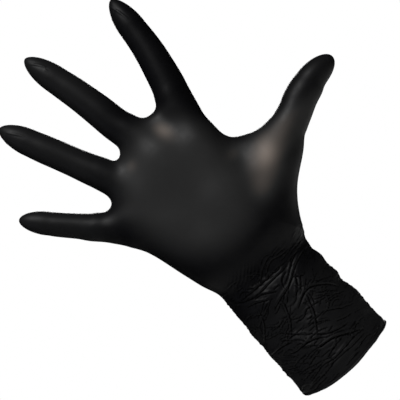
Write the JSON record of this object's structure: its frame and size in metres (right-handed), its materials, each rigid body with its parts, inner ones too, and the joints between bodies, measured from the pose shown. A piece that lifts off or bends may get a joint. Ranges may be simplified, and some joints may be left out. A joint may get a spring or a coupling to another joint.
{
  "type": "disposable glove",
  "caption": "Thin dipped glove in its worn shape: a close film over the palm, fingers and thumb, a loose wrinkled cuff and a rolled bead round the opening.",
  "frame": {"origin": "centre of the cuff opening, in the plane of the bead's rim", "axes": "+Z along the arm from the cuff to the fingers, the palm faces -Y, the thumb points to +X"},
  "size_m": [0.1866, 0.0514, 0.2391],
  "materials": {
    "film": "satin black dipped nitrile film",
    "bead": "satin black rolled nitrile bead"
  },
  "bodies": {
    "cuff": {"cuff_bead": "bead", "cuff": "film", "wrist_film": "film"},
    "palm": {"palm_front": "film", "palm_back": "film", "index_root_film": "film", "middle_root_film": "film", "ring_root_film": "film", "little_root_film": "film", "thumb_root_film": "film"},
    "index_base": {"index_base": "film", "index_middle_film": "film"},
    "index_middle": {"index_middle": "film", "index_end_film": "film"},
    "index_tip": {"index_tip": "film"},
    "middle_base": {"middle_base": "film", "middle_middle_film": "film"},
    "middle_middle": {"middle_middle": "film", "middle_end_film": "film"},
    "middle_tip": {"middle_tip": "film"},
    "ring_base": {"ring_base": "film", "ring_middle_film": "film"},
    "ring_middle": {"ring_middle": "film", "ring_end_film": "film"},
    "ring_tip": {"ring_tip": "film"},
    "little_base": {"little_base": "film", "little_middle_film": "film"},
    "little_middle": {"little_middle": "film", "little_end_film": "film"},
    "little_tip": {"little_tip": "film"},
    "thumb_base": {"thumb_base": "film", "thumb_middle_film": "film"},
    "thumb_middle": {"thumb_middle": "film", "thumb_end_film": "film"},
    "thumb_tip": {"thumb_tip": "film"}
  },
  "joints": [
    {"name": "wrist", "type": "hinge", "parent": "cuff", "child": "palm", "pos_m": [0, 0, 0.06], "axis": [1, 0, 0], "range_deg": [-60, 65], "deforming": ["wrist_film"]},
    {"name": "index_root", "type": "hinge", "parent": "palm", "child": "index_base", "pos_m": [0.02595, -0.002, 0.17385], "axis": [0.9781, 0, -0.2079], "range_deg": [-15, 80], "deforming": ["index_root_film"]},
    {"name": "index_middle", "type": "hinge", "parent": "index_base", "child": "index_middle", "pos_m": [0.03007, -0.002, 0.19323], "axis": [0.9781, 0, -0.2079], "range_deg": [0, 80], "deforming": ["index_middle_film"]},
    {"name": "index_end", "type": "hinge", "parent": "index_middle", "child": "index_tip", "pos_m": [0.03369, -0.002, 0.21027], "axis": [0.9781, 0, -0.2079], "range_deg": [0, 44], "deforming": ["index_end_film"]},
    {"name": "middle_root", "type": "hinge", "parent": "palm", "child": "middle_base", "pos_m": [-0.00421, -0.002, 0.17581], "axis": [0.9816, 0, 0.1908], "range_deg": [-15, 80], "deforming": ["middle_root_film"]},
    {"name": "middle_middle", "type": "hinge", "parent": "middle_base", "child": "middle_middle", "pos_m": [-0.00852, -0.002, 0.198], "axis": [0.9816, 0, 0.1908], "range_deg": [0, 80], "deforming": ["middle_middle_film"]},
    {"name": "middle_end", "type": "hinge", "parent": "middle_middle", "child": "middle_tip", "pos_m": [-0.01217, -0.002, 0.21676], "axis": [0.9816, 0, 0.1908], "range_deg": [0, 44], "deforming": ["middle_end_film"]},
    {"name": "ring_root", "type": "hinge", "parent": "palm", "child": "ring_base", "pos_m": [-0.0313, -0.002, 0.16383], "axis": [0.9336, 0, 0.3584], "range_deg": [-15, 80], "deforming": ["ring_root_film"]},
    {"name": "ring_middle", "type": "hinge", "parent": "ring_base", "child": "ring_middle", "pos_m": [-0.03879, -0.002, 0.18333], "axis": [0.9336, 0, 0.3584], "range_deg": [0, 80], "deforming": ["ring_middle_film"]},
    {"name": "ring_end", "type": "hinge", "parent": "ring_middle", "child": "ring_tip", "pos_m": [-0.04526, -0.002, 0.20019], "axis": [0.9336, 0, 0.3584], "range_deg": [0, 44], "deforming": ["ring_end_film"]},
    {"name": "little_root", "type": "hinge", "parent": "palm", "child": "little_base", "pos_m": [-0.05356, -0.002, 0.14875], "axis": [0.6947, 0, 0.7193], "range_deg": [-15, 80], "deforming": ["little_root_film"]},
    {"name": "little_middle", "type": "hinge", "parent": "little_base", "child": "little_middle", "pos_m": [-0.06314, -0.002, 0.158], "axis": [0.6947, 0, 0.7193], "range_deg": [0, 80], "deforming": ["little_middle_film"]},
    {"name": "little_end", "type": "hinge", "parent": "little_middle", "child": "little_tip", "pos_m": [-0.07117, -0.002, 0.16576], "axis": [0.6947, 0, 0.7193], "range_deg": [0, 44], "deforming": ["little_end_film"]},
    {"name": "thumb_root", "type": "hinge", "parent": "palm", "child": "thumb_base", "pos_m": [0.028, -0.002, 0.084], "axis": [0.6448, 0, -0.7644], "range_deg": [0, 35], "deforming": ["thumb_root_film"]},
    {"name": "thumb_middle", "type": "hinge", "parent": "thumb_base", "child": "thumb_middle", "pos_m": [0.06112, -0.00164, 0.11333], "axis": [0.2667, -0.5736, -0.7745], "range_deg": [0, 45], "deforming": ["thumb_middle_film"]},
    {"name": "thumb_end", "type": "hinge", "parent": "thumb_middle", "child": "thumb_tip", "pos_m": [0.08286, -0.00164, 0.12082], "axis": [0.2667, -0.5736, -0.7745], "range_deg": [-10, 60], "deforming": ["thumb_end_film"]}
  ],
  "couplings": [
    {"joint": "index_end", "follows": "index_middle", "ratio": 0.55},
    {"joint": "middle_end", "follows": "middle_middle", "ratio": 0.55},
    {"joint": "ring_end", "follows": "ring_middle", "ratio": 0.55},
    {"joint": "little_end", "follows": "little_middle", "ratio": 0.55}
  ]
}
